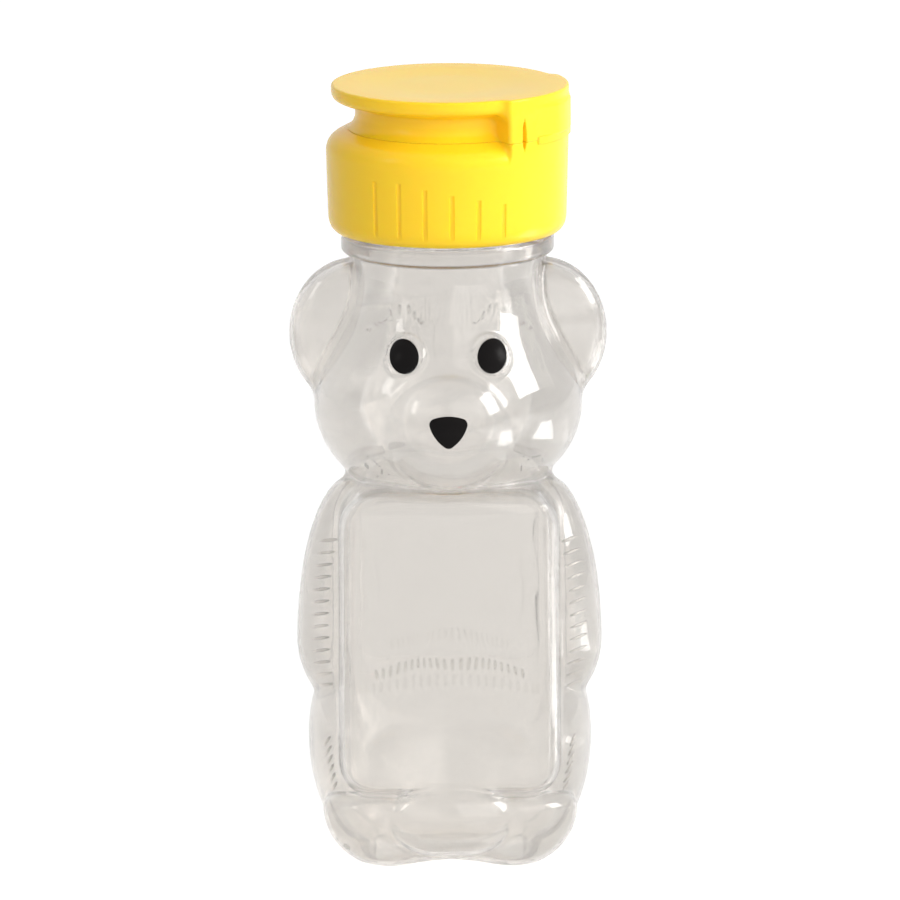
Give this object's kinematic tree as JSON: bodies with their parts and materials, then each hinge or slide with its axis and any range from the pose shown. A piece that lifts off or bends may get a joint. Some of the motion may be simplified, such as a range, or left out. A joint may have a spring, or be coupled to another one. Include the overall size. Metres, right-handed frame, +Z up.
{
  "type": "honey bear bottle",
  "caption": "Clear bear-shaped squeeze bottle with printed eyes and nose and a yellow screw-on flip-top dispensing closure.",
  "frame": {"origin": "on the neck axis, in the plane of the surface that the bottle stands on", "axes": "+Z up along the neck axis, the bear faces -Y, +X to the right of a person who looks at its face"},
  "size_m": [0.0554, 0.0502, 0.1367],
  "materials": {
    "clear_pet": "glossy, blow-moulded",
    "black_ink": "glossy print",
    "yellow_polypropylene": "satin, injection-moulded",
    "liner_foam": "matte foam"
  },
  "bodies": {
    "bottle": {"bottle_shell": "clear_pet", "eye_left": "black_ink", "eye_right": "black_ink", "nose": "black_ink"},
    "liner": {"sealing_liner": "liner_foam"},
    "closure": {"closure_base": "yellow_polypropylene", "hinge_strap": "yellow_polypropylene"},
    "lid": {"flip_lid": "yellow_polypropylene"}
  },
  "joints": [
    {"name": "cap_lift", "type": "slide", "parent": "bottle", "child": "liner", "axis": [0, 0, 1], "range_m": [0, 0.017]},
    {"name": "cap_unscrew", "type": "hinge", "parent": "liner", "child": "closure", "pos_m": [0, 0, 0.1186], "axis": [0, 0, 1], "range_deg": [0, 1440]},
    {"name": "lid_flip", "type": "hinge", "parent": "closure", "child": "lid", "pos_m": [0.02046, -0.00637, 0.12896], "axis": [0.2974, 0.9548, 0], "range_deg": [0, 150], "deforming": ["hinge_strap"]}
  ],
  "couplings": [
    {"joint": "cap_lift", "follows": "cap_unscrew", "m_per_rad": 0.0006737}
  ]
}
